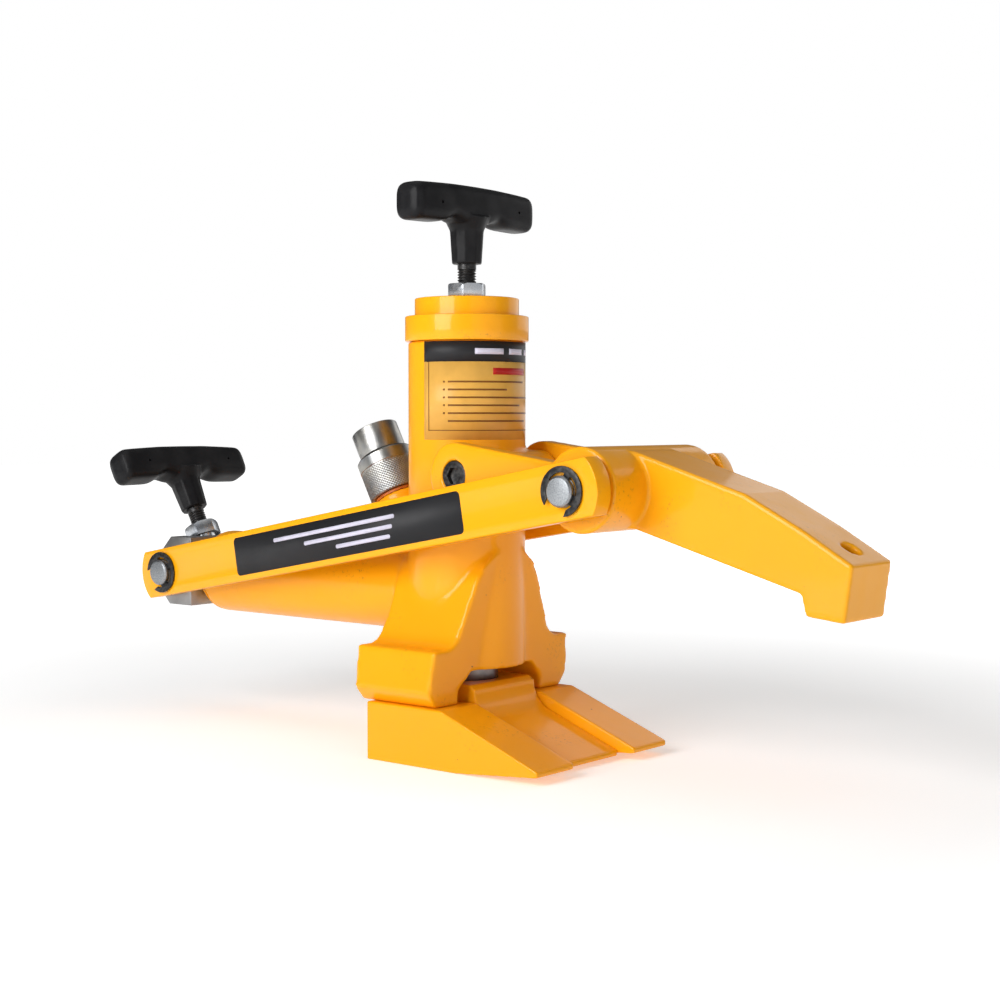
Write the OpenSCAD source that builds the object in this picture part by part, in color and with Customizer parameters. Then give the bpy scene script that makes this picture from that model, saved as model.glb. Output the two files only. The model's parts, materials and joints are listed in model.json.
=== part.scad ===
// Combination bead breaker: an upright ram pushes a foot down between two fixed
// feet, and a second, lying ram pulls two side bars that close a claw on the rim.
// Origin: on the upright ram's axis, on the ground. +X points to the hook.

/* [Upright cylinder] */
// Outside diameter of the upright tube
tube_od = 75; // [72:0.5:76]
// Bore of the upright cylinder
tube_bore = 60; // [56:1:62]
// Height of the tube's top edge
tube_top = 262; // [258:1:266]
// Diameter of the collar on the top cap
collar_od = 79; // [78:0.5:82]
// Height of the collar
collar_h = 16; // [14:1:18]
// Diameter of the raised ring on the top cap
cap_ring_od = 66.6; // [60:0.5:70]
// Height of the raised ring
cap_ring_h = 11.4; // [8:0.2:14]

/* [Clamp cylinder] */
// Outside diameter of the lying cylinder
clamp_od = 58; // [56:1:60]
// Height of its axis
clamp_z = 103; // [101:0.5:104]
// Distance of its end from the upright axis
clamp_end = 237; // [235:0.5:238]

/* [Claw] */
// Height of the claw's pivot
pivot_z = 178; // [177:0.5:179]
// Distance of the claw's pivot from the upright axis
pivot_x = 31; // [30:0.5:32]
// Distance of the claw pin from the upright axis
claw_pin_x = 131.5; // [130:0.5:133]
// Height of the claw pin
claw_pin_z = 172; // [171:0.5:173]
// Diameter of the claw's cross tube
cross_tube_od = 50; // [48:1:52]
// Length of the claw's cross tube
cross_tube_l = 111.6; // [110:0.2:113]
// Width of the claw's arm
arm_w = 46; // [42:1:50]

/* [Side bars] */
// Thickness of each bar
bar_t = 12; // [10:0.5:12.5]
// Height of each bar
bar_h = 33.5; // [31:0.5:36]
// Distance of the rear pin from the upright axis
rear_pin_x = 251; // [250:0.5:252]
// Diameter of both pins
pin_d = 18; // [17:0.5:18]
// Extra radius of the bars' rear holes, which take up the linkage's arc
rear_hole_play = 0.8; // [0.8:0.1:1]

/* [Feet] */
// Height of the feet's flat top
foot_h = 36.5; // [35:0.5:38]
// Distance of the feet's tips from the upright axis
foot_tip = 109.5; // [106:0.5:112]
// Overall width across the two side feet
feet_w = 133.4; // [130:0.2:136]
// Width of the moving centre foot
ram_foot_w = 60; // [58:0.5:60]

/* [Ram] */
// Diameter of the upright ram's rod
ram_rod_d = 40; // [36:1:40]
// Height of the upright ram's piston, measured under it at rest
piston_z = 214; // [210:1:216]

/* [Valve handles] */
// Length of each T-grip
grip_l = 116; // [110:1:118]
// Thickness of the grip bar
grip_t = 24; // [20:1:26]
// Lean of the rear valve and of the coupler from upright
lean = 28; // [26:1:30]

/* [Hidden] */
$fn = 64;
eps = 0.01;
yellow = "gold";
steel = "silver";
black = "#222222";

tube_r = tube_od / 2;
bore_r = tube_bore / 2;
clamp_r = clamp_od / 2;
clamp_bore_r = 21;
clamp_rod_r = 12.5;
pin_r = pin_d / 2;
run = 0.05;

tunnel_top = 56;
floor_top = 82;
collar_top = tube_top + collar_h;
cap_top = collar_top + cap_ring_h;
cap_plug_z = 246;

yoke_top = 132;
yoke_x0 = -34;
yoke_x1 = 36.5;
yoke_x1_low = 27.5;
neck_r = 33.5;
neck_z = yoke_top - neck_r;
// Lean of the yoke's sides from upright, and the fillet between them and the flange
side_lean = 22.6;
flange_fillet = 13;
flange_z = 71.5;
flange_w = 69;
shoulder_w = 62;

// Places of the screws that hold each side foot
foot_screw_xs = [-14, 14];
foot_screw_y = 51;

lug_in = 38.2;
lug_out = 49.3;
lug_in_front = 43;
lug_r = 20.5;
boss_r = 15;
screw_r = 8;
screw_head_r = 9;
screw_head_h = 5.2;
bush_t = 1.4;
head_depth = screw_head_h + 0.7;

hook_top = [256, 153];
hook_tip = [287, 135];
hook_lean = atan2(hook_top[1] - hook_tip[1], hook_tip[0] - hook_top[0]);
hook_hole = [274, 142.5];
hook_hole_depth = 24;

// Plane of the bars at each pin: half the gap between them, at the middle of the plate
bar_front_y = 64.8;
bar_rear_y = 36;
claw_pin_half = 76.3;
rear_pin_half = 47.3;
reach = norm([claw_pin_x + rear_pin_x, claw_pin_z - clamp_z]);
pitch = atan2(claw_pin_z - clamp_z, claw_pin_x + rear_pin_x);
splay = asin((bar_front_y - bar_rear_y) / reach);
bar_run = reach / cos(splay);
bar_end_r = 25.5;

block_x0 = 272;
block_h = 49;
block_half_w = 27.6;
seat = [-254, 126];

coupler_base = [-45.4, 136.8];
coupler_t0 = 28;
collar_l = 28.5;
collar_r = 19.4;
dust_r = 15.8;
dust_h = 18;

// Places a part that leans back from upright: z runs along the leaning axis
module leaning(at) {
    translate([at[0], 0, at[1]]) rotate([0, -lean, 0]) children();
}

// A cylinder along Y, centred on Y = 0
module along_y(r, l) {
    rotate([90, 0, 0]) cylinder(r = r, h = l, center = true);
}

// A cylinder along X from x0 to x1
module along_x(x0, x1, r) {
    translate([x0, 0, 0]) rotate([0, 90, 0]) cylinder(r = r, h = x1 - x0);
}

// An outline drawn in X and Z, extruded along Y from y0 to y1
module side_plate(y0, y1) {
    translate([0, y1, 0]) rotate([90, 0, 0]) linear_extrude(y1 - y0) children();
}

// An outline drawn in Y and Z, extruded along X from x0 to x1
module front_plate(x0, x1) {
    translate([x0, 0, 0]) rotate([90, 0, 90]) linear_extrude(x1 - x0) children();
}

// ---- Cast body ----

// Points along an arc about a centre, from one angle to another
function arc(at, r, from, to, steps) = [
    for (i = [0:steps]) let (a = from + (to - from) * i / steps) at + r * [cos(a), sin(a)]
];

// One side of the bell of the yoke, from the flange's foot up to the middle of its top
function yoke_side() =
    let (
        shoulder = [0, neck_z] + neck_r * [cos(side_lean), sin(side_lean)],
        fillet_z = flange_z + flange_fillet,
        fillet_y = shoulder[0] + (flange_fillet - (fillet_z - shoulder[1]) * sin(side_lean)) / cos(side_lean)
    )
    concat(
        [[shoulder_w, foot_h], [flange_w, foot_h + 9], [shoulder_w + 4, flange_z]],
        arc([fillet_y, fillet_z], flange_fillet, 270, 180 + side_lean, 8),
        arc([0, neck_z], neck_r, side_lean, 90, 16)
    );

// The bell of the yoke, seen from the front
module yoke_outline() {
    half = yoke_side();
    polygon(concat(half, [for (i = [len(half) - 2:-1:0]) [-half[i][0], half[i][1]]]));
}

// The channel under the yoke that the centre foot slides up into
module tunnel_outline() {
    polygon([
        [-41, foot_h - 1], [41, foot_h - 1], [41, foot_h + 8],
        [30, tunnel_top], [-30, tunnel_top], [-41, foot_h + 8]
    ]);
}

module yoke() {
    intersection() {
        front_plate(yoke_x0, yoke_x1 + 2) difference() {
            yoke_outline();
            tunnel_outline();
        }
        side_plate(-80, 80) polygon([
            [yoke_x0, foot_h], [yoke_x1_low, foot_h], [yoke_x1, yoke_top + 1], [yoke_x0, yoke_top + 1]
        ]);
    }
}

module body_outside() {
    translate([0, 0, tunnel_top]) cylinder(r = tube_r, h = tube_top - tunnel_top, $fn = 96);
    translate([0, 0, clamp_z]) along_x(-clamp_end + 12, 0, clamp_r, $fn = 96);
    yoke();
    translate([pivot_x, 0, pivot_z]) along_y(boss_r, 2 * (lug_in - 0.6));
    leaning(coupler_base) translate([0, 0, -22]) cylinder(r = 17, h = coupler_t0 + 22);
}

module body_bores() {
    // Main bore, open at the top
    translate([0, 0, floor_top]) cylinder(r = bore_r, h = tube_top - floor_top + 1, $fn = 96);
    // Seats of the rod's bush and wiper
    translate([0, 0, tunnel_top - 1]) cylinder(r = ram_rod_d / 2 + 5, h = floor_top - tunnel_top + 2);
    // Clamp bore, open at the rear
    translate([0, 0, clamp_z]) along_x(-clamp_end, -50, clamp_bore_r, $fn = 96);
    // Oil galleries from the coupler to both cylinders
    leaning(coupler_base) translate([0, 0, -22]) cylinder(r = 3, h = coupler_t0 + 23);
    translate([0, 0, clamp_z + 14]) along_x(-51, -34, 3);
    gallery_x = -(tube_r + bore_r) / 2;
    translate([0, 0, 150]) along_x(-52, gallery_x + 1, 1.8);
    translate([gallery_x, 0, 149]) cylinder(r = 1.8, h = cap_plug_z - 151);
    translate([0, 0, cap_plug_z - 3]) along_x(gallery_x, -bore_r + 2, 1.8);
    leaning(coupler_base) translate([0, 0, coupler_t0 - 18]) cylinder(r = 9, h = 19);
    for (side = [-1, 1]) {
        // Threads of the pivot screws
        translate([pivot_x, side * (lug_in - 7.5), pivot_z]) along_y(6, 17);
        // Threads of the foot screws
        for (x = foot_screw_xs) translate([x, side * foot_screw_y, foot_h - 1]) cylinder(r = 5, h = 21);
    }
}

module cast_body() {
    color(yellow) difference() {
        body_outside();
        body_bores();
    }
}

module top_cap() {
    color(yellow) difference() {
        union() {
            translate([0, 0, tube_top]) cylinder(d = collar_od, h = collar_h, $fn = 96);
            translate([0, 0, collar_top - eps]) cylinder(d = cap_ring_od, h = cap_ring_h + eps, $fn = 96);
            translate([0, 0, cap_plug_z]) cylinder(r = bore_r, h = tube_top - cap_plug_z + eps, $fn = 96);
        }
        // Recess under the plug, valve bore and gland thread
        translate([0, 0, cap_plug_z - 1]) cylinder(r = 24, h = 5);
        translate([0, 0, cap_plug_z - 1]) cylinder(r = ball_r + 0.2, h = 20);
        translate([0, 0, cap_top - spindle_below - 5.2]) cylinder(r = spindle_r + 0.3, h = 40);
        translate([0, 0, cap_top - top_shank_l]) cylinder(r = shank_r, h = top_shank_l + 1);
    }
}

// ---- Needle valves: gland nut, spindle with grip, ball ----

nut_h = 9.6;
nut_af = 22;
top_shank_l = 13;
rear_shank_l = 7;
ball_r = 2.5;
spindle_r = 6;
shank_r = 8;

// Origin at the nut's seat, z along the spindle
module gland_nut(shank_l) {
    color(steel) difference() {
        union() {
            intersection() {
                cylinder(r = nut_af / 2 / cos(30), h = nut_h, $fn = 6);
                cylinder(r1 = nut_af, r2 = nut_af / 2 * 1.04, h = nut_h);
            }
            translate([0, 0, -shank_l]) cylinder(r = shank_r, h = shank_l + eps);
        }
        translate([0, 0, -shank_l - 1]) cylinder(r = spindle_r + run, h = shank_l + nut_h + 2);
    }
}

// The spindle's length below and above the nut's seat
module spindle(below, above) {
    color(black) {
        translate([0, 0, -below]) cylinder(r = spindle_r, h = below + above);
        translate([0, 0, -below - 5]) cylinder(r1 = 2, r2 = spindle_r, h = 5 + eps);
    }
}

module valve_ball(below) {
    color(steel) translate([0, 0, -below - 5.1 - ball_r]) sphere(r = ball_r);
}

grip_neck_h = 22;
grip_rise = 49;

// Origin where the neck begins, z along the spindle, the bar along Y
module t_grip() {
    color(black) difference() {
        union() {
            translate([0, 0, grip_rise - grip_t / 2]) intersection() {
                cube([grip_t, grip_l, grip_t], center = true);
                along_y(grip_t * 0.62, grip_l + 2);
            }
            cylinder(r1 = 9.8, r2 = 11, h = grip_neck_h + 10);
            translate([0, 0, grip_neck_h - 4]) intersection() {
                cylinder(r1 = 10, r2 = 18, h = 12);
                translate([-grip_t / 2 + 1, -20, 0]) cube([grip_t - 2, 40, 12]);
            }
        }
        translate([0, 0, -1]) cylinder(r = spindle_r, h = grip_neck_h + 9);
    }
}

top_spindle_above = 22;
rear_spindle_above = 23;
spindle_below = 20;
spindle_in_grip = 26;

module on_top_cap() {
    translate([0, 0, cap_top]) children();
}

module on_crosshead() {
    leaning(seat) children();
}

module top_gland_nut() {
    on_top_cap() gland_nut(top_shank_l);
}

module top_valve_spindle() {
    on_top_cap() spindle(spindle_below, top_spindle_above + spindle_in_grip);
}

module top_t_grip() {
    on_top_cap() translate([0, 0, top_spindle_above]) t_grip();
}

module top_valve_ball() {
    on_top_cap() valve_ball(spindle_below);
}

module rear_gland_nut() {
    on_crosshead() gland_nut(rear_shank_l);
}

rear_below = 3;

module rear_valve_spindle() {
    on_crosshead() spindle(rear_below, rear_spindle_above + spindle_in_grip);
}

module rear_t_grip() {
    on_crosshead() translate([0, 0, rear_spindle_above]) t_grip();
}

module rear_valve_ball() {
    on_crosshead() valve_ball(rear_below);
}

// ---- Feet ----

module side_foot(side) {
    y0 = ram_foot_w / 2 + 1;
    y1 = feet_w / 2;
    color(yellow) difference() {
        side_plate(side < 0 ? -y1 : y0, side < 0 ? -y0 : y1) polygon([
            [-25.7, 0], [48, 0], [foot_tip, 5], [foot_tip, 8.5], [34.9, foot_h], [-25.7, foot_h]
        ]);
        for (x = foot_screw_xs) translate([x, side * foot_screw_y, -1]) {
            cylinder(r = 5.2, h = foot_h + 2);
            cylinder(r = 8.2, h = 11);
        }
    }
}

module near_side_foot() {
    side_foot(-1);
}

module far_side_foot() {
    side_foot(1);
}

// Socket-head screw with its head at z = 0, pointing up
module socket_screw(r, head_r, head_h, l, socket_af) {
    difference() {
        union() {
            cylinder(r = head_r, h = head_h);
            cylinder(r = r, h = head_h + l);
        }
        translate([0, 0, -1]) cylinder(r = socket_af / 2 / cos(30), h = head_h * 0.6 + 1, $fn = 6);
    }
}

module foot_screws() {
    color(black) for (x = foot_screw_xs, side = [-1, 1])
        translate([x, side * foot_screw_y, 0.5]) socket_screw(5, 8, 9.5, foot_h + 8, 8);
}

// ---- Upright ram ----

rod_end_z = 22;
foot_pin_z = 34;
foot_pin_r = 4;

module ram_rod() {
    color(steel) difference() {
        union() {
            translate([0, 0, rod_end_z]) cylinder(d = ram_rod_d, h = piston_z - rod_end_z);
            translate([0, 0, piston_z - eps]) cylinder(r = 12, h = 18);
        }
        translate([0, 0, foot_pin_z]) along_y(foot_pin_r, ram_rod_d + 2);
    }
}

module ram_piston() {
    color(steel) difference() {
        translate([0, 0, piston_z]) cylinder(r = bore_r - 0.3, h = 26, $fn = 96);
        translate([0, 0, piston_z - 1]) cylinder(r = 12, h = 19);
        translate([0, 0, piston_z + 11]) difference() {
            cylinder(r = bore_r + 1, h = 5);
            translate([0, 0, -1]) cylinder(r = bore_r - 4, h = 7);
        }
    }
}

module ring(z, r_in, r_out, h) {
    translate([0, 0, z]) difference() {
        cylinder(r = r_out, h = h);
        translate([0, 0, -1]) cylinder(r = r_in, h = h + 2);
    }
}

module ram_seal() {
    color(black) ring(piston_z + 11, bore_r - 4, bore_r - run, 5, $fn = 96);
}

module ram_gland_bush() {
    color("peru") ring(tunnel_top + 5, ram_rod_d / 2 + run, ram_rod_d / 2 + 5, floor_top - tunnel_top - 4);
}

module ram_wiper() {
    color(black) ring(tunnel_top, ram_rod_d / 2 + run, ram_rod_d / 2 + 5, 5);
}

module ram_foot() {
    tip = 98;
    half = ram_foot_w / 2;
    color(yellow) difference() {
        side_plate(-half, half) difference() {
            polygon([
                [-24, 0], [46, 0], [tip, 2.5], [tip, 6], [43.8, 26.3], [31.5, 44.1], [27.5, 47], [-24, 47]
            ]);
            translate([50.5, 44.1]) circle(19);
        }
        translate([0, 0, rod_end_z]) cylinder(d = ram_rod_d, h = 48 - rod_end_z);
        translate([0, 0, foot_pin_z]) along_y(foot_pin_r, ram_foot_w + 2);
    }
}

module ram_foot_pin() {
    color(steel) translate([0, 0, foot_pin_z]) along_y(foot_pin_r, ram_foot_w - 1);
}

// ---- Springs ----

// One ring of a swept wire: centre on the coil at angle a, in the plane of the coil's radius
function wire_ring(r, wire, a, z, sides) = [
    for (i = [0:sides - 1]) let (b = 360 * i / sides)
        [(r + wire * cos(b)) * cos(a), (r + wire * cos(b)) * sin(a), z + wire * sin(b)]
];

function clamped(v) = min(1, max(0, v));

// Height of the wire after some turns: the first and last turns rise little
function coil_z(turn, turns, wire, h) = wire + (h - 2 * wire) * (
    0.08 * clamped(turn) + 0.84 * clamped((turn - 1) / (turns - 2)) + 0.08 * clamped(turn - turns + 1)
);

// A coil spring standing on z = 0, with closed end turns
module coil_spring(r, wire, h, turns, per_turn = 16, sides = 6) {
    n = turns * per_turn;
    points = [
        for (i = [0:n]) each wire_ring(
            r, wire, 360 * i / per_turn, coil_z(i / per_turn, turns, wire, h), sides
        )
    ];
    faces = concat(
        [[for (i = [0:sides - 1]) i]],
        [for (k = [0:n - 1], i = [0:sides - 1]) let (j = (i + 1) % sides)
            [k * sides + i, k * sides + sides + i, k * sides + sides + j, k * sides + j]],
        [[for (i = [sides - 1:-1:0]) n * sides + i]]
    );
    polyhedron(points, faces);
}

module ram_return_spring() {
    color("dimgray") translate([0, 0, floor_top + 2])
        coil_spring(25.2, 2.6, piston_z - floor_top - 3, 8);
}

module clamp_return_spring() {
    color("dimgray") translate([-clamp_end + 23, 0, clamp_z]) rotate([0, 90, 0])
        coil_spring(16.8, 2.2, 106, 12);
}

// ---- Clamp ram ----

clamp_piston_x = -106;

module clamp_end_cap() {
    color(yellow) translate([0, 0, clamp_z]) difference() {
        union() {
            translate([-clamp_end, 0, 0]) rotate([0, 90, 0])
                cylinder(r1 = clamp_r - 7, r2 = clamp_r, h = 12, $fn = 96);
            along_x(-clamp_end + 12 - eps, -clamp_end + 22, clamp_bore_r, $fn = 96);
        }
        along_x(-clamp_end - 1, -clamp_end + 23, clamp_rod_r + 3);
    }
}

module clamp_bush() {
    color("peru") translate([0, 0, clamp_z]) difference() {
        along_x(-clamp_end, -clamp_end + 22, clamp_rod_r + 3);
        along_x(-clamp_end - 1, -clamp_end + 23, clamp_rod_r + run);
    }
}

module clamp_piston() {
    color(steel) translate([0, 0, clamp_z]) difference() {
        along_x(clamp_piston_x, clamp_piston_x + 24, clamp_bore_r - 0.3, $fn = 96);
        along_x(clamp_piston_x - 1, clamp_piston_x + 16, 8);
        difference() {
            along_x(clamp_piston_x + 10, clamp_piston_x + 14, clamp_bore_r + 1);
            along_x(clamp_piston_x + 9, clamp_piston_x + 15, clamp_bore_r - 3.5);
        }
    }
}

module clamp_seal() {
    color(black) translate([0, 0, clamp_z]) difference() {
        along_x(clamp_piston_x + 10, clamp_piston_x + 14, clamp_bore_r - run, $fn = 96);
        along_x(clamp_piston_x + 9, clamp_piston_x + 15, clamp_bore_r - 3.5);
    }
}

module clamp_rod() {
    color(steel) translate([0, 0, clamp_z]) {
        along_x(-clamp_end, clamp_piston_x, clamp_rod_r);
        along_x(clamp_piston_x - eps, clamp_piston_x + 16, 8);
        along_x(-clamp_end - 4.5, -clamp_end + eps, 8);
    }
}

module crosshead_block() {
    low = clamp_z - block_h / 2;
    high = clamp_z + block_h / 2;
    color("lightslategray") difference() {
        side_plate(-block_half_w, block_half_w) polygon([
            [-block_x0 + 11, low], [-clamp_end - 0.3, low], [-clamp_end - 0.3, high],
            [-block_x0 + 13, high], [-block_x0, high - 13], [-block_x0, low + 11]
        ]);
        translate([-rear_pin_x, 0, clamp_z]) along_y(pin_r, 2 * block_half_w + 2);
        translate([0, 0, clamp_z]) along_x(-clamp_end - 4.5, -clamp_end + 1, 8);
        on_crosshead() {
            cylinder(r = 15, h = 30);
            translate([0, 0, -rear_shank_l]) cylinder(r = shank_r, h = rear_shank_l + 1);
            translate([0, 0, -rear_below - 5.2]) cylinder(r = spindle_r + 0.3, h = rear_below + 5.2);
            translate([0, 0, -13.3]) cylinder(r = ball_r + 0.2, h = 13);
        }
    }
}

module crosshead_pin() {
    color(steel) translate([-rear_pin_x, 0, clamp_z]) grooved_pin(rear_pin_half);
}

// ---- Pins and retaining clips ----

clip_t = 1.2;
groove_r = 7.5;
clip_inset = 3.55;

module grooved_pin(half) {
    difference() {
        rotate([90, 0, 0]) rotate_extrude($fn = 64) polygon([
            [0, -half], [pin_r - 1.2, -half], [pin_r, -half + 1.2],
            [pin_r, half - 1.2], [pin_r - 1.2, half], [0, half]
        ]);
        for (side = [-1, 1]) translate([0, side * (half - clip_inset), 0]) difference() {
            along_y(pin_r + 1, clip_t + 0.1);
            along_y(groove_r, clip_t + 1);
        }
    }
}

// The E-shaped clip, its mouth opening down
module e_clip_outline() {
    difference() {
        circle(r = 14.5);
        difference() {
            circle(r = 10.8);
            for (a = [0, 90, 180]) rotate(a) translate([6, -2.2]) square([8, 4.4]);
        }
        circle(r = groove_r);
        translate([-groove_r, -16]) square([2 * groove_r, 16]);
    }
    for (side = [0, 1]) mirror([side, 0]) translate([groove_r, -4.2]) square([4.5, 4]);
}

// turn is how far the mouth is turned from straight down
module e_clip(turn) {
    rotate([90, 0, 0]) translate([0, 0, -clip_t / 2]) linear_extrude(clip_t)
        rotate(turn) e_clip_outline();
}

module crosshead_pin_clips() {
    color(black) for (side = [-1, 1])
        translate([-rear_pin_x, side * (rear_pin_half - clip_inset), clamp_z]) e_clip(-60);
}

module claw_pin() {
    color(steel) translate([claw_pin_x, 0, claw_pin_z]) grooved_pin(claw_pin_half);
}

module claw_pin_clips() {
    color(black) for (side = [-1, 1])
        translate([claw_pin_x, side * (claw_pin_half - clip_inset), claw_pin_z]) e_clip(-25);
}

// ---- Side bars ----

// Seen from the side, with the front hole at the origin
module bar_outline() {
    intersection() {
        translate([-bar_run - 60, -bar_h / 2]) square([bar_run + 120, bar_h]);
        union() {
            circle(r = bar_end_r, $fn = 96);
            translate([-bar_run, -bar_h]) square([bar_run, 2 * bar_h]);
            translate([-bar_run, 0]) circle(r = bar_end_r, $fn = 96);
        }
    }
}

module side_bar(side) {
    color(yellow) difference() {
        translate([claw_pin_x, side * bar_front_y, claw_pin_z]) rotate([0, -pitch, 0])
            rotate([0, 0, side * splay]) rotate([90, 0, 0])
                translate([0, 0, -bar_t / 2]) linear_extrude(bar_t) bar_outline();
        translate([claw_pin_x, side * bar_front_y, claw_pin_z]) along_y(pin_r + run, bar_t + 10);
        translate([-rear_pin_x, side * bar_rear_y, clamp_z]) along_y(pin_r + rear_hole_play, bar_t + 10);
    }
}

module near_side_bar() {
    side_bar(-1);
}

module far_side_bar() {
    side_bar(1);
}

// ---- Claw ----

// The arm from the cross tube to the hook, seen from the side
module arm_outline() {
    difference() {
        polygon([
            [128, 196.5], [146, 194], [220, 171.5], hook_top, hook_tip,
            [282.5, 103.5], [259, 106], [256, 118], [146, 149], [128, 148]
        ]);
        translate([claw_pin_x, claw_pin_z]) circle(10);
    }
}

module claw() {
    color(yellow) difference() {
        union() {
            translate([claw_pin_x, 0, claw_pin_z]) along_y(cross_tube_od / 2, cross_tube_l, $fn = 96);
            side_plate(-arm_w / 2, arm_w / 2) arm_outline();
            for (side = [0, 1]) mirror([0, side, 0]) intersection() {
                side_plate(lug_in - 1, cross_tube_l) lug_plate();
                linear_extrude(pivot_z + lug_r + 40) lug_plan();
            }
        }
        translate([claw_pin_x, 0, claw_pin_z]) along_y(pin_r + 3, cross_tube_l + 2);
        for (side = [-1, 1]) translate([pivot_x, side * (lug_in + lug_out) / 2, pivot_z]) {
            along_y(screw_r + bush_t, 20);
            translate([0, side * (lug_out - lug_in) / 2, 0]) along_y(screw_head_r + 0.6, 2 * head_depth);
        }
        translate([hook_hole[0], 0, hook_hole[1]]) rotate([0, hook_lean, 0])
            translate([0, 0, -hook_hole_depth]) cylinder(r = 6, h = hook_hole_depth + 10);
    }
}

// The lug: a round end at the pivot, straight edges that run into the cross tube
module lug_plate() {
    translate([pivot_x, pivot_z]) circle(lug_r);
    polygon([
        [pivot_x + 1.2, pivot_z + lug_r - 0.1], [claw_pin_x, claw_pin_z + 13],
        [claw_pin_x, claw_pin_z - 20], [pivot_x - 1.2, pivot_z - lug_r + 0.1]
    ]);
}

// The lug seen from above: it splays out until it is flush with the end of the cross tube
module lug_plan() {
    rear_x = pivot_x - lug_r - 1;
    slope = (cross_tube_l / 2 - lug_out) / (claw_pin_x - pivot_x);
    polygon([
        [rear_x, lug_in], [pivot_x + lug_r, lug_in], [claw_pin_x, lug_in_front],
        [claw_pin_x, cross_tube_l / 2], [rear_x, lug_out - (pivot_x - rear_x) * slope]
    ]);
}

module pivot_bushes() {
    l = lug_out - lug_in - head_depth - 0.1;
    color("peru") for (side = [-1, 1])
        translate([pivot_x, side * (lug_in + l / 2), pivot_z]) difference() {
            along_y(screw_r + bush_t, l);
            along_y(screw_r + run, l + 2);
        }
}

module claw_bushes() {
    color("peru") for (side = [-1, 1])
        translate([claw_pin_x, side * (cross_tube_l / 2 - 12), claw_pin_z]) difference() {
            along_y(pin_r + 3, 24);
            along_y(pin_r, 26);
        }
}

module pivot_screws() {
    color(black) for (side = [0, 1]) mirror([0, side, 0])
        translate([pivot_x, -lug_out + 0.6, pivot_z]) rotate([-90, 0, 0]) {
            socket_screw(6, screw_head_r, screw_head_h, 20.5, 10);
            translate([0, 0, screw_head_h - eps])
                cylinder(r = screw_r, h = lug_out - lug_in - screw_head_h + eps);
        }
}

// ---- Hydraulic coupler ----

module coupler_body() {
    color(steel) leaning(coupler_base) difference() {
        union() {
            translate([0, 0, coupler_t0 - 18]) cylinder(r = 9, h = 18);
            translate([0, 0, coupler_t0]) cylinder(r = 15.2, h = 24);
        }
        translate([0, 0, coupler_t0 - 19]) cylinder(r = 3, h = 30);
        translate([0, 0, coupler_t0 - 6]) cylinder(r = 6.2, h = 16.2);
        translate([0, 0, coupler_t0]) cylinder(r = 4.2, h = 20);
        translate([0, 0, coupler_t0 + 13]) cylinder(r = 11.2, h = 12);
    }
}

module coupler_seal() {
    color("orangered") leaning(coupler_base)
        ring(coupler_t0, 15.2, 16.6, 1.6);
}

module coupler_poppet() {
    color(steel) leaning(coupler_base) translate([0, 0, coupler_t0 + 6]) {
        cylinder(r = 6.1, h = 4);
        cylinder(r = 3, h = 8);
    }
}

module coupler_spring() {
    color("dimgray") leaning(coupler_base) translate([0, 0, coupler_t0 - 5.8])
        coil_spring(4.6, 0.7, 11.6, 5, 12, 6);
}

module coupler_collar() {
    color(steel) leaning(coupler_base) translate([0, 0, coupler_t0 + 1.8]) difference() {
        cylinder(r = collar_r, h = collar_l, $fn = 96);
        translate([0, 0, -1]) cylinder(r = 15.2 + run, h = collar_l + 2 - 1.4 - 3.4);
        translate([0, 0, 20]) cylinder(r = 12.6, h = collar_l);
    }
}

module dust_cap() {
    color(steel) leaning(coupler_base) translate([0, 0, coupler_t0 + 1.8 + collar_l]) {
        translate([0, 0, 1.2]) cylinder(r = dust_r, h = dust_h, $fn = 96);
        translate([0, 0, -15]) cylinder(r = 11, h = 16.4);
    }
}

cast_body();
top_cap();
top_gland_nut();
top_valve_spindle();
top_t_grip();
top_valve_ball();
near_side_foot();
far_side_foot();
foot_screws();
pivot_screws();
coupler_body();
coupler_seal();
coupler_poppet();
coupler_spring();
coupler_collar();
dust_cap();
ram_piston();
ram_seal();
ram_rod();
ram_gland_bush();
ram_wiper();
ram_return_spring();
ram_foot();
ram_foot_pin();
clamp_end_cap();
clamp_bush();
clamp_piston();
clamp_seal();
clamp_rod();
clamp_return_spring();
crosshead_block();
rear_gland_nut();
rear_valve_spindle();
rear_t_grip();
rear_valve_ball();
crosshead_pin();
crosshead_pin_clips();
near_side_bar();
far_side_bar();
claw();
pivot_bushes();
claw_bushes();
claw_pin();
claw_pin_clips();
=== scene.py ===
"""A combination bead breaker: painted castings, side bars, two valve handles and a coupler."""
import json
import math

import bmesh
import bpy
from mathutils import Matrix, Vector


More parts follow.
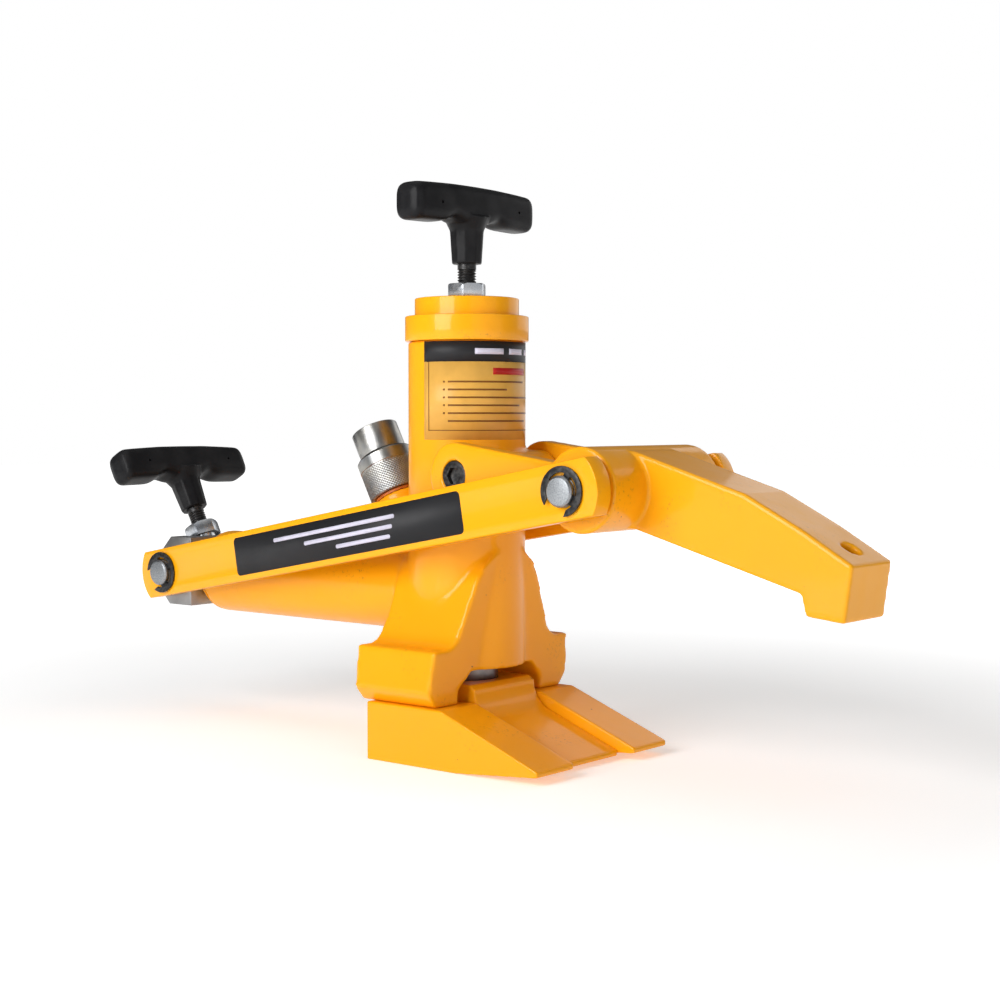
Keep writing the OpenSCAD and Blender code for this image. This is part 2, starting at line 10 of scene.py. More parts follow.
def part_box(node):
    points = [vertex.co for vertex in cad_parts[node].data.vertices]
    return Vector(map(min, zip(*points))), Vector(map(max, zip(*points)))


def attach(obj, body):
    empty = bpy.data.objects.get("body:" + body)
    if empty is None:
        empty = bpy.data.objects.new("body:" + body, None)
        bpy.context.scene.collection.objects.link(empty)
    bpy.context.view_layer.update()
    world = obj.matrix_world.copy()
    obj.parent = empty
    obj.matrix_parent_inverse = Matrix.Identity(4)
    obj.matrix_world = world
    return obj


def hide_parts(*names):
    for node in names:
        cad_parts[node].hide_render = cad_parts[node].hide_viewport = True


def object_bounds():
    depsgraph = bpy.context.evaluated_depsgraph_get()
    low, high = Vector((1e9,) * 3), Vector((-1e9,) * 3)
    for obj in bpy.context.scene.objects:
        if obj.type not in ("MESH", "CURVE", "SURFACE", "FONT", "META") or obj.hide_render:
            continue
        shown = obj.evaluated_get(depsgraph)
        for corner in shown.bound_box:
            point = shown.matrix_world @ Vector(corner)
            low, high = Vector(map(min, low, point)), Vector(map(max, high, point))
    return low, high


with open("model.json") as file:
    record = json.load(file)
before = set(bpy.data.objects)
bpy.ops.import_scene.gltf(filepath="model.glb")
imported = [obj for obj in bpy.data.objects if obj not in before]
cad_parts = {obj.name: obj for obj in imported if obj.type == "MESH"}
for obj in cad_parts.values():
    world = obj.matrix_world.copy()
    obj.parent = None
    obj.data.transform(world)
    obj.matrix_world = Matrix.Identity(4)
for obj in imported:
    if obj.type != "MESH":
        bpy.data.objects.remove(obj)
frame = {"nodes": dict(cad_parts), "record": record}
CAD_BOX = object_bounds()
JOINTS = {joint["name"]: joint for joint in frame["record"]["behaviour"]["joints"]}
BODY_OF = {node: body for body, nodes in frame["record"]["behaviour"]["bodies"].items() for node in nodes}
SLOT_OF = {part["node"]: part["material_slot"] for part in frame["record"]["subparts"]}
MM = 0.001


# ---- Camera, light and floor ----

ROOM = 0.12
EYE = Vector((0.7210, -0.8464, 0.2127))
AIM = Vector((0.0164, 0.0134, 0.1607))
LENS = 62.3


def set_camera():
    camera = bpy.data.objects.new("camera", bpy.data.cameras.new("camera"))
    bpy.context.collection.objects.link(camera)
    camera.data.lens = LENS
    camera.data.sensor_width = 36
    camera.data.clip_start = 0.01
    camera.location = EYE
    camera.rotation_euler = (AIM - EYE).to_track_quat("-Z", "Y").to_euler()
    bpy.context.scene.camera = camera


def area_light(name, place, aim, size, power, tint=(1, 1, 1)):
    light = bpy.data.lights.new(name, "AREA")
    light.shape = "RECTANGLE"
    light.size, light.size_y = size
    light.energy = power
    light.color = tint
    lamp = bpy.data.objects.new(name, light)
    lamp.location = place
    lamp.rotation_euler = (Vector(aim) - Vector(place)).to_track_quat("-Z", "Y").to_euler()
    bpy.context.collection.objects.link(lamp)


def light_studio():
    """White all round for the camera, a dimmer room for the object, and three softboxes."""
    world = bpy.data.worlds.new("studio")
    world.use_nodes = True
    tree = world.node_tree
    room = tree.nodes["Background"]
    room.inputs["Color"].default_value = (1, 1, 1, 1)
    room.inputs["Strength"].default_value = ROOM
    backdrop = tree.nodes.new("ShaderNodeBackground")
    backdrop.inputs["Color"].default_value = (1, 1, 1, 1)
    chooser = tree.nodes.new("ShaderNodeMixShader")
    tree.links.new(tree.nodes.new("ShaderNodeLightPath").outputs["Is Camera Ray"], chooser.inputs[0])
    tree.links.new(room.outputs[0], chooser.inputs[1])
    tree.links.new(backdrop.outputs[0], chooser.inputs[2])
    tree.links.new(chooser.outputs[0], tree.nodes["World Output"].inputs["Surface"])
    bpy.context.scene.world = world
    area_light("key_softbox", (-0.10, -1.15, 0.62), (0, 0, 0.22), (0.7, 0.8), 14)
    area_light("fill_softbox", (1.75, -0.35, 0.6), (0, 0, 0.15), (2.0, 1.4), 5)
    area_light("top_softbox", (0.0, -0.1, 1.8), (0, 0, 0.1), (1.8, 1.8), 6)
    area_light("rim_strip", (0.2, 1.6, 0.7), (0.1, 0, 0.15), (1.6, 0.8), 5)


def lay_floor():
    mesh = bmesh.new()
    bmesh.ops.create_grid(mesh, x_segments=1, y_segments=1, size=6)
    floor = keep(mesh, "floor", glowing_floor())
    floor.location.z = CAD_BOX[0][2] - 0.0002


# ---- Materials ----

class Finish:
    """A material under construction: a Principled shader and a few helpers to feed it."""

    def __init__(self, name, colour, metallic, rough, coat=0.0, coat_rough=0.1, ior=1.5):
        self.material = bpy.data.materials.new(name)
        self.material.use_nodes = True
        self.tree = self.material.node_tree
        self.shader = self.tree.nodes["Principled BSDF"]
        self.set("Base Color", (*colour, 1))
        self.set("Metallic", metallic)
        self.set("Roughness", rough)
        self.set("Coat Weight", coat)
        self.set("Coat Roughness", coat_rough)
        self.set("IOR", ior)
        self.place = self.node("ShaderNodeTexCoord").outputs["Object"]

    def set(self, socket, value):
        self.shader.inputs[socket].default_value = value

    def node(self, kind, **settings):
        made = self.tree.nodes.new(kind)
        for key, value in settings.items():
            setattr(made, key, value)
        return made

    def join(self, output, socket):
        self.tree.links.new(output, socket)

    def stretched(self, scale, turn=(0, 0, 0)):
        mapping = self.node("ShaderNodeMapping")
        mapping.inputs["Scale"].default_value = scale
        mapping.inputs["Rotation"].default_value = turn
        self.join(self.place, mapping.inputs["Vector"])
        return mapping.outputs["Vector"]

    def noise(self, scale, detail=3.0, rough=0.5, vector=None):
        made = self.node("ShaderNodeTexNoise")
        made.inputs["Scale"].default_value = scale
        made.inputs["Detail"].default_value = detail
        made.inputs["Roughness"].default_value = rough
        self.join(vector or self.place, made.inputs["Vector"])
        return made.outputs["Fac"]

    def cells(self, scale, feature="F1", vector=None):
        made = self.node("ShaderNodeTexVoronoi", feature=feature)
        made.inputs["Scale"].default_value = scale
        self.join(vector or self.place, made.inputs["Vector"])
        return made.outputs["Distance"]

    def ramp(self, value, low, high, at=(0.0, 1.0)):
        made = self.node("ShaderNodeMapRange")
        made.inputs["From Min"].default_value = at[0]
        made.inputs["From Max"].default_value = at[1]
        made.inputs["To Min"].default_value = low
        made.inputs["To Max"].default_value = high
        self.join(value, made.inputs["Value"])
        return made.outputs["Result"]

    def times(self, first, second):
        made = self.node("ShaderNodeMath", operation="MULTIPLY")
        self.join(first, made.inputs[0])
        self.join(second, made.inputs[1])
        return made.outputs["Value"]

    def mix(self, amount, first, second):
        made = self.node("ShaderNodeMix", data_type="RGBA")
        self.join(amount, made.inputs["Factor"])
        for socket, colour in ((made.inputs[6], first), (made.inputs[7], second)):
            if hasattr(colour, "is_linked"):
                self.join(colour, socket)
            else:
                socket.default_value = (*colour, 1)
        return made.outputs[2]

    def bump(self, height, depth, strength=1.0, onto=None):
        made = self.node("ShaderNodeBump")
        made.inputs["Distance"].default_value = depth
        made.inputs["Strength"].default_value = strength
        self.join(height, made.inputs["Height"])
        if onto:
            self.join(onto, made.inputs["Normal"])
        return made.outputs["Normal"]

    def colour(self, output):
        self.join(output, self.shader.inputs["Base Color"])

    def roughness(self, output):
        self.join(output, self.shader.inputs["Roughness"])

    def normal(self, output):
        self.join(output, self.shader.inputs["Normal"])


YELLOW = (0.91, 0.385, 0.004)
DEEP_YELLOW = (0.86, 0.335, 0.003)
GRIME = (0.34, 0.15, 0.02)
BARE_CHIP = (0.10, 0.06, 0.03)


def glowing_floor():
    finish = Finish("glowing_floor", (0.94, 0.94, 0.94), 0, 0.7)
    finish.set("Specular IOR Level", 0.1)
    # Painted light: the floor glows. Its emission rises with distance from the origin, faint under the object
    # and full white far off, so the far floor reads as white backdrop and a little glow lights the object's
    # undersides.
    finish.set("Emission Color", (1, 1, 1, 1))
    away = finish.node("ShaderNodeVectorMath", operation="LENGTH")
    finish.join(finish.place, away.inputs[0])
    glow = finish.ramp(away.outputs["Value"], 0.34, 1.05, (0.35, 1.3))
    finish.join(glow, finish.shader.inputs["Emission Strength"])
    finish.roughness(finish.ramp(finish.noise(14), 0.6, 0.75))
    return finish.material


def enamel(name, waviness, dirt, chips=0.0):
    """Gloss yellow enamel: soft waves, orange peel, brown shop dirt in patches, and a few dark chips."""
    finish = Finish(name, YELLOW, 0, 0.32, coat=0.3, coat_rough=0.05)
    finish.set("Specular IOR Level", 0.14)
    shade = finish.mix(finish.ramp(finish.noise(9, 4), 0, 0.35, (0.35, 0.75)), YELLOW, DEEP_YELLOW)
    specks = finish.ramp(finish.noise(420, 5, 0.7), 0, 1, (0.56, 0.72))
    patches = finish.ramp(finish.noise(22, 3), 0, dirt, (0.57, 0.72))
    dirty = finish.mix(finish.times(specks, patches), shade, GRIME)
    flakes = finish.ramp(finish.noise(150, 5, 0.62), 0, chips, (0.715, 0.74))
    finish.colour(finish.mix(flakes, dirty, BARE_CHIP))
    finish.roughness(finish.ramp(finish.noise(60, 2), 0.26, 0.4))
    rolling = finish.bump(finish.noise(38, 2), waviness)
    finish.normal(finish.bump(finish.noise(900, 2), 0.00003, 0.6, rolling))
    return finish.material


def zinc_plate():
    """Bright zinc: a cool metal with a faint blue cloud and fine drawing lines."""
    finish = Finish("zinc_plate", (0.50, 0.53, 0.57), 1, 0.25)
    cloud = finish.ramp(finish.noise(70, 4), 0, 1, (0.35, 0.65))
    finish.colour(finish.mix(cloud, (0.42, 0.46, 0.52), (0.58, 0.59, 0.60)))
    finish.roughness(finish.ramp(finish.noise(300, 3), 0.18, 0.36))
    finish.normal(finish.bump(finish.noise(1500, 2), 0.00002, 0.5))
    return finish.material


def turned_steel(name, lean=0.0, tones=((0.50, 0.51, 0.53), (0.64, 0.64, 0.63))):
    """Turned bare steel: fine tool rings round the axis that the part was turned on."""
    finish = Finish(name, tones[0], 1, 0.3)
    rings = finish.noise(1, 2, 0.6, finish.stretched((6, 6, 1800), (0, lean, 0)))
    finish.colour(finish.mix(finish.ramp(finish.noise(120, 4), 0, 1, (0.35, 0.65)), *tones))
    finish.roughness(finish.ramp(rings, 0.22, 0.42))
    finish.normal(finish.bump(rings, 0.00003, 0.5))
    return finish.material


def pin_face_steel():
    """The pins' faced ends: pitted grey steel, duller than the turned sides."""
    finish = Finish("pin_steel", (0.42, 0.43, 0.45), 1, 0.36)
    grain = finish.noise(1100, 4, 0.7)
    finish.colour(finish.mix(finish.ramp(grain, 0, 1, (0.3, 0.7)), (0.16, 0.17, 0.18), (0.46, 0.48, 0.50)))
    finish.roughness(finish.ramp(grain, 0.28, 0.55))
    finish.normal(finish.bump(grain, 0.00005, 0.6))
    return finish.material


def milled_block():
    """The crosshead's bare milled steel, slightly oiled, with cutter lines."""
    finish = Finish("milled_block", (0.34, 0.34, 0.34), 1, 0.42)
    lines = finish.noise(1, 3, 0.6, finish.stretched((40, 40, 1400)))
    finish.colour(finish.mix(finish.ramp(finish.noise(45, 5), 0, 1, (0.3, 0.7)),
                             (0.27, 0.265, 0.26), (0.45, 0.45, 0.45)))
    finish.roughness(finish.ramp(lines, 0.32, 0.55))
    finish.normal(finish.bump(lines, 0.00004, 0.5))
    return finish.material


def black_oxide():
    finish = Finish("black_oxide", (0.018, 0.018, 0.02), 0.6, 0.3)
    finish.colour(finish.mix(finish.ramp(finish.noise(500, 4), 0, 1, (0.4, 0.7)),
                             (0.016, 0.016, 0.017), (0.060, 0.058, 0.056)))
    finish.roughness(finish.ramp(finish.noise(260, 3), 0.26, 0.46))
    finish.normal(finish.bump(finish.noise(1600, 2), 0.00002, 0.5))
    return finish.material


def moulded_nylon():
    """Satin black nylon with a fine spark-eroded grain."""
    finish = Finish("moulded_nylon", (0.010, 0.010, 0.011), 0, 0.42)
    finish.set("Specular IOR Level", 0.12)
    finish.colour(finish.mix(finish.ramp(finish.noise(55, 3), 0, 1, (0.4, 0.7)),
                             (0.008, 0.008, 0.009), (0.016, 0.016, 0.017)))
    finish.roughness(finish.ramp(finish.noise(140, 3), 0.30, 0.46))
    grain = finish.bump(finish.noise(2400, 3, 0.6), 0.00003, 0.6)
    finish.normal(finish.bump(finish.noise(60, 2), 0.0004, 0.25, grain))
    return finish.material


def plain_metal(name, low, high, rough):
    """A hidden or small metal part: two close tones and a light grain."""
    finish = Finish(name, low, 1, rough)
    finish.colour(finish.mix(finish.ramp(finish.noise(160, 4), 0, 1, (0.35, 0.65)), low, high))
    finish.roughness(finish.ramp(finish.noise(320, 2), rough - 0.07, rough + 0.09))
    finish.normal(finish.bump(finish.noise(1300, 2), 0.00002, 0.5))
    return finish.material


def moulded_rubber(name, low, high):
    finish = Finish(name, low, 0, 0.55)
    finish.colour(finish.mix(finish.ramp(finish.noise(260, 3), 0, 1, (0.35, 0.65)), low, high))
    finish.roughness(finish.ramp(finish.noise(500, 2), 0.45, 0.65))
    finish.normal(finish.bump(finish.noise(1800, 2), 0.00002, 0.5))
    return finish.material


def printed_film(name, colour, rough=0.3):
    """Sticker film: a flat ink with a hint of mottle, under a gloss varnish."""
    finish = Finish(name, colour, 0, rough)
    finish.set("Specular IOR Level", 0.25)
    darker = tuple(part * 0.9 for part in colour)
    finish.colour(finish.mix(finish.ramp(finish.noise(120, 4), 0, 1, (0.3, 0.7)), colour, darker))
    finish.roughness(finish.ramp(finish.noise(90, 2), rough - 0.05, rough + 0.08))
    finish.normal(finish.bump(finish.noise(700, 2), 0.00002, 0.4))
    return finish.material


def make_materials():
    lean = lean_angle()
    return {
        "body_paint": enamel("cast_enamel", 0.0006, 0.9, 0.85),
        "bar_paint": enamel("bar_enamel", 0.00015, 0.25),
        "zinc": zinc_plate(),
        "machined_steel": turned_steel("turned_steel"),
        "bare_block": milled_block(),
        "black_oxide": black_oxide(),
        "grip_plastic": moulded_nylon(),
        "bronze": plain_metal("bush_bronze", (0.50, 0.30, 0.12), (0.62, 0.42, 0.20), 0.35),
        "seal_rubber": moulded_rubber("seal_rubber", (0.012, 0.012, 0.012), (0.03, 0.03, 0.03)),
        # The coupler's seal ring shows as an orange line at the collar's foot. That orange line is partly
        # painted shade: it stands for the shadow gap between collar and boss, tinted orange by the yellow
        # paint.
        "orange_seal": moulded_rubber("orange_seal", (0.50, 0.12, 0.01), (0.66, 0.20, 0.02)),
        "spring_steel": plain_metal("spring_wire", (0.12, 0.12, 0.13), (0.26, 0.26, 0.27), 0.32),
        "coupler_steel": turned_steel("coupler_steel", lean, tones=((0.26, 0.265, 0.27), (0.37, 0.36, 0.33))),
        "pin_steel": pin_face_steel(),
        "oiled_rod": turned_steel("oiled_rod", tones=((0.17, 0.17, 0.18), (0.26, 0.26, 0.26))),
        "label_black": printed_film("label_black", (0.014, 0.014, 0.016), 0.45),
        "label_ochre": printed_film("label_ochre", (0.72, 0.39, 0.075), 0.3),
        "label_white": printed_film("label_white", (0.62, 0.60, 0.72), 0.4),
        "label_red": printed_film("label_red", (0.42, 0.012, 0.010), 0.3),
        "label_brown": printed_film("label_brown", (0.20, 0.075, 0.012), 0.35),
    }


# ---- Making pieces ----

def keep(mesh, name, material, smooth=True):
    """Turns a bmesh into an object at the origin, with one material."""
    data = bpy.data.meshes.new(name)
    mesh.to_mesh(data)
    mesh.free()
    data.materials.append(material)
    if smooth:
        data.shade_smooth()
    made = bpy.data.objects.new(name, data)
    bpy.context.collection.objects.link(made)
    return made


def stand_for(piece, node):
    """The piece takes a node's place: its body."""
    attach(piece, BODY_OF[node])
    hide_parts(node)
    return piece


def copy_of(node):
    """A bmesh of a node's mesh, with its loose triangles merged."""
    mesh = bmesh.new()
    mesh.from_mesh(frame["nodes"][node].data)
    bmesh.ops.remove_doubles(mesh, verts=mesh.verts, dist=2e-6)
    return mesh


def apply_modifiers(piece):
    """Bakes a piece's modifiers into its mesh."""
    bpy.context.view_layer.update()
    evaluated = piece.evaluated_get(bpy.context.evaluated_depsgraph_get())
    data = bpy.data.meshes.new_from_object(evaluated)
    piece.modifiers.clear()
    piece.data = data
    return piece


def by_angle(piece, degrees=30):
    """Smooth shading that breaks at sharp edges."""
    data = piece.data
    mesh = bmesh.new()
    mesh.from_mesh(data)
    for edge in mesh.edges:
        edge.smooth = len(edge.link_faces) == 2 and edge.calc_face_angle(0) < math.radians(degrees)
    for face in mesh.faces:
        face.smooth = True
    mesh.to_mesh(data)
    mesh.free()
    return piece


def softened(node, name, material, width, segments=2, corner=32):
    """A machined part: the node's own shape with its edges broken."""
    mesh = copy_of(node)
    bmesh.ops.dissolve_limit(mesh, angle_limit=math.radians(0.6), verts=mesh.verts, edges=mesh.edges)
    sharp = [edge for edge in mesh.edges
             if len(edge.link_faces) == 2 and edge.calc_face_angle(0) > math.radians(corner)]
    bmesh.ops.bevel(mesh, geom=sharp, offset=width, offset_type="OFFSET", segments=segments, profile=0.5,
                    affect="EDGES", clamp_overlap=True, material=-1)
    piece = keep(mesh, name, material)
    by_angle(piece, 24)
    return stand_for(piece, node)


def soften_between(piece, low, high, rounds):
    """Smooths a casting further between two corners of a box, as where two shapes melt together."""
    group = piece.vertex_groups.new(name="blend")
    for vert in piece.data.vertices:
        depth = min(min(place - least, most - place) for place, least, most in
                    zip((vert.co.x, abs(vert.co.y), vert.co.z), low, high))
        if depth > 0:
            group.add([vert.index], min(1, depth / (6 * MM)), "REPLACE")
    smooth = piece.modifiers.new("melt", "SMOOTH")
    smooth.factor = 0.5
    smooth.iterations = rounds
    smooth.vertex_group = "blend"
    apply_modifiers(piece)
    piece.vertex_groups.clear()


def cast(node, name, material, voxel, rounds):
    """A casting: the node's shape with every corner and crease rounded over."""
    piece = keep(copy_of(node), name, material)
    remesh = piece.modifiers.new("grain", "REMESH")
    remesh.mode = "VOXEL"
    remesh.voxel_size = voxel
    smooth = piece.modifiers.new("soften", "SMOOTH")
    smooth.factor = 0.5
    smooth.iterations = rounds
    apply_modifiers(piece)
    piece.data.materials.clear()
    piece.data.materials.append(material)
    piece.data.shade_smooth()
    return stand_for(piece, node)


def lean_angle():
    axis = JOINTS["rear_handle_turn"]["axis"]
    return math.atan2(axis[0], axis[2])


def axis_frame(joint, lift):
    """Axes with z along a hinge's axis, lift above its point."""
    axis = Vector(JOINTS[joint]["axis"])
    turn = Vector((0, 0, 1)).rotation_difference(axis).to_matrix().to_4x4()
    return Matrix.Translation(Vector(JOINTS[joint]["pos_m"]) + axis * lift) @ turn


def along_joint(node, joint):
    """Where a node begins and ends along a hinge's axis, from the hinge's point."""
    axis, point = Vector(JOINTS[joint]["axis"]), Vector(JOINTS[joint]["pos_m"])
    heights = [(vert.co - point).dot(axis) for vert in frame["nodes"][node].data.vertices]
    return min(heights), max(heights)


def lowest_along(node, joint):
    return along_joint(node, joint)[0]


# ---- T-grips and spindles ----

GRIP_L = 116 * MM
GRIP_T = 24 * MM
GRIP_TOP = 49 * MM
GRIP_ROUND = 6 * MM
NECK_R = 9.8 * MM
HOLE_R = 1.0 * MM
SQUARENESS = 3.8


def grip_section(y):
    """Half width, bottom and top of the grip's bar at y, before its ends are rounded."""
    along = abs(y) / (GRIP_L / 2)
    half_width = GRIP_T / 2 * (0.97 - 0.08 * along ** 3)
    top = GRIP_TOP - 2.0 * MM * along ** 2
    groove = math.exp(-((along - 0.36) / 0.11) ** 2)
    bottom = GRIP_TOP - GRIP_T + (3.2 * groove - 1.4 * along) * MM
    return half_width, bottom, top


def grip_bar():
    """The grip's bar along Y: a squarish section under an arched top, with rounded ends."""
    around, along = 48, 90
    mesh = bmesh.new()
    bmesh.ops.create_grid(mesh, x_segments=around, y_segments=along, size=1)
    for vert in mesh.verts:
        turn = (vert.co.x + 1) * math.pi
        y = vert.co.y * GRIP_L / 2
        half_width, bottom, top = grip_section(y)
        inset = GRIP_ROUND - (GRIP_L / 2 - abs(y))
        if inset > 0:
            inset = GRIP_ROUND - math.sqrt(max(0, GRIP_ROUND ** 2 - inset ** 2))
            half_width -= inset
            bottom += inset
            top -= inset
        size = (abs(math.cos(turn)) ** SQUARENESS + abs(math.sin(turn)) ** SQUARENESS) ** (-1 / SQUARENESS)
        vert.co = Vector((half_width * size * math.cos(turn), y,
                          (top + bottom) / 2 + (top - bottom) / 2 * size * math.sin(turn)))
    bmesh.ops.remove_doubles(mesh, verts=mesh.verts, dist=1e-6)
    bmesh.ops.holes_fill(mesh, edges=mesh.edges, sides=0)
    bmesh.ops.recalc_face_normals(mesh, faces=mesh.faces)
    return mesh


def grip_neck(mesh):
    """Adds the neck: a taper with soft flats that flares out along the bar's underside."""
    for segments, low, radius, high, wide in ((10, 0, NECK_R, 30 * MM, NECK_R * 1.2),
                                              (24, 19 * MM, NECK_R, 30 * MM, NECK_R * 1.55)):
        bmesh.ops.create_cone(mesh, cap_ends=True, segments=segments, radius1=radius, radius2=wide,
                              depth=high - low, matrix=Matrix.Translation((0, 0, (high + low) / 2)))
    return mesh


def grip_holes():
    """The cutter for the spindle's bore and the two small holes on either side of the bar."""
    mesh = bmesh.new()
    bmesh.ops.create_cone(mesh, cap_ends=True, segments=40, radius1=6.05 * MM, radius2=6.05 * MM,
                          depth=60 * MM)
    across = Matrix.Rotation(math.radians(90), 4, "Y")
    for side in (-1, 1):
        for y in (-0.31, 0.34):
            place = Matrix.Translation((side * GRIP_T / 2, y * GRIP_L, GRIP_TOP - 13.5 * MM))
            bmesh.ops.create_cone(mesh, cap_ends=True, segments=16, radius1=HOLE_R, radius2=HOLE_R,
                                  depth=6 * MM, matrix=place @ across)
    return mesh


def t_grip(node, joint, name, material):
    piece = keep(grip_neck(grip_bar()), name, material)
    remesh = piece.modifiers.new("grain", "REMESH")
    remesh.mode = "VOXEL"
    remesh.voxel_size = 0.7 * MM
    smooth = piece.modifiers.new("soften", "SMOOTH")
    smooth.factor = 0.5
    smooth.iterations = 10
    apply_modifiers(piece)
    cut(piece, grip_holes())
    piece.data.transform(axis_frame(joint, lowest_along(node, joint)))
    piece.data.materials.clear()
    piece.data.materials.append(material)
    by_angle(piece, 50)
    return stand_for(piece, node)


def cut(piece, tool):
    """Takes a tool's bmesh out of a piece."""
    cutter = keep(tool, "cutter", piece.data.materials[0])
    boolean = piece.modifiers.new("cut", "BOOLEAN")
    boolean.operation = "DIFFERENCE"
    boolean.solver = "EXACT"
    boolean.object = cutter
    apply_modifiers(piece)
    bpy.data.objects.remove(cutter)


THREAD_PITCH = 1.75 * MM
THREAD_R = 6 * MM
THREAD_DEPTH = 0.95 * MM
THREAD_ROWS = 10
SHOULDER_H = 3.4 * MM
POINT_H = 5 * MM


def turned(outline, steps=48):
    """A solid of revolution about Z from (radius, height) points."""
    mesh = bmesh.new()
    verts = [mesh.verts.new((radius, 0, height)) for radius, height in outline]
    edges = [mesh.edges.new(pair) for pair in zip(verts, verts[1:])]
    bmesh.ops.spin(mesh, geom=verts + edges, cent=(0, 0, 0), axis=(0, 0, 1), dvec=(0, 0, 0),
                   angle=math.tau, steps=steps, use_merge=True)
    bmesh.ops.remove_doubles(mesh, verts=mesh.verts, dist=1e-6)
    bmesh.ops.recalc_face_normals(mesh, faces=mesh.faces)
    return mesh


def spindle(node, joint, grip_node, name, material):
    """A spindle with a real screw thread, and a plain shoulder under the grip."""
    low, high = along_joint(node, joint)
    low += POINT_H
    shoulder = lowest_along(grip_node, joint) - SHOULDER_H
    rows = int((shoulder - low) / THREAD_PITCH * THREAD_ROWS)
    step = (shoulder - low) / rows
    outline = [(0, low - POINT_H), (2 * MM, low - POINT_H)]
    outline += [(THREAD_R, low + row * step) for row in range(rows + 1)]
    outline += [(THREAD_R, high), (0, high)]
    mesh = turned(outline)
    for vert in mesh.verts:
        radius = Vector(vert.co.xy).length
        if radius < 5 * MM or not low + 1 * MM < vert.co.z < shoulder - step / 2:
            continue
        phase = (vert.co.z / THREAD_PITCH - math.atan2(vert.co.y, vert.co.x) / math.tau) % 1
        crest = min(1, max(0, abs(phase - 0.5) * 3.2 - 0.25))
        vert.co.xy *= (radius - THREAD_DEPTH * (1 - crest)) / radius
    mesh.transform(axis_frame(joint, 0))
    piece = keep(mesh, name, material)
    by_angle(piece, 60)
    return stand_for(piece, node)


# ---- Coupler collar with its knurl ----

COLLAR_R = 19.4 * MM
COLLAR_L = 28.5 * MM
KNURL_TOP = 19 * MM
KNURL_DEPTH = 0.5 * MM
KNURL_COUNT = 60
KNURL_CLIMB = 9


def knurled_collar(node, joint, name, material):
    """The collar: a diagonal knurl on its lower two thirds and a plain turned band above."""
    rows = 66
    bottom, band = 0.8 * MM, KNURL_TOP
    outline = [(15.3 * MM, 0), (COLLAR_R - 0.8 * MM, 0)]
    outline += [(COLLAR_R, bottom + (band - bottom) * row / rows) for row in range(rows + 1)]
    outline += [(COLLAR_R - 0.35 * MM, band + 0.3 * MM), (COLLAR_R - 0.35 * MM, band + 1.1 * MM),
                (COLLAR_R, band + 1.5 * MM), (COLLAR_R, COLLAR_L - 1.2 * MM),
                (COLLAR_R - 1.2 * MM, COLLAR_L), (12.6 * MM, COLLAR_L),
                (12.6 * MM, COLLAR_L - 3.8 * MM), (15.3 * MM, COLLAR_L - 3.8 * MM), (15.3 * MM, 0)]
    mesh = turned(outline, KNURL_COUNT * 6)
    for vert in mesh.verts:
        radius = Vector(vert.co.xy).length
        if radius < COLLAR_R - 1e-6 or not bottom - 1e-6 < vert.co.z < band + 1e-6:
            continue
        turn = math.atan2(vert.co.y, vert.co.x) / math.tau * KNURL_COUNT
        climb = (vert.co.z - bottom) / (band - bottom) * KNURL_CLIMB
        groove = max(ridge(turn + climb), ridge(turn - climb) * 0.75)
        vert.co.xy *= (radius - KNURL_DEPTH * groove) / radius
    mesh.transform(axis_frame(joint, lowest_along(node, joint)))
    piece = keep(mesh, name, material)
    by_angle(piece, 38)
    return stand_for(piece, node)


def ridge(turn):
    """0 on the crest of a knurl line and 1 in the groove between two."""
    return min(1, 1.5 * abs((turn % 1) - 0.5) * 2)


# ---- Labels ----

TUBE_R = 37.5 * MM
FILM = 0.16 * MM


def curved_patch(centre, half_angle, low, high, lift):
    """A thin panel wrapped on the tube, centre being its middle's bearing in degrees."""
    mesh = bmesh.new()
    steps = max(2, int(half_angle / 2))
    start = math.radians(centre - half_angle)
    radius = TUBE_R + lift
    first = [mesh.verts.new((radius * math.cos(start), radius * math.sin(start), z)) for z in (low, high)]
    edge = mesh.edges.new(first)
    bmesh.ops.spin(mesh, geom=first + [edge], cent=(0, 0, 0), axis=(0, 0, 1), dvec=(0, 0, 0),
                   angle=math.radians(2 * half_angle), steps=steps, use_merge=False)
    return thickened(mesh, FILM / 2)


def thickened(mesh, depth):
    """Gives an open sheet a thickness and points its faces outwards."""
    bmesh.ops.recalc_face_normals(mesh, faces=mesh.faces)
    bmesh.ops.solidify(mesh, geom=mesh.faces[:] + mesh.edges[:] + mesh.verts[:], thickness=depth)
    bmesh.ops.recalc_face_normals(mesh, faces=mesh.faces)
    return mesh


LABEL_BOTTOM = 199.8 * MM
LABEL_TOP = 261.2 * MM
BAND_BOTTOM = 248.4 * MM
LABEL_HALF = 95
FRAME_IN = 6


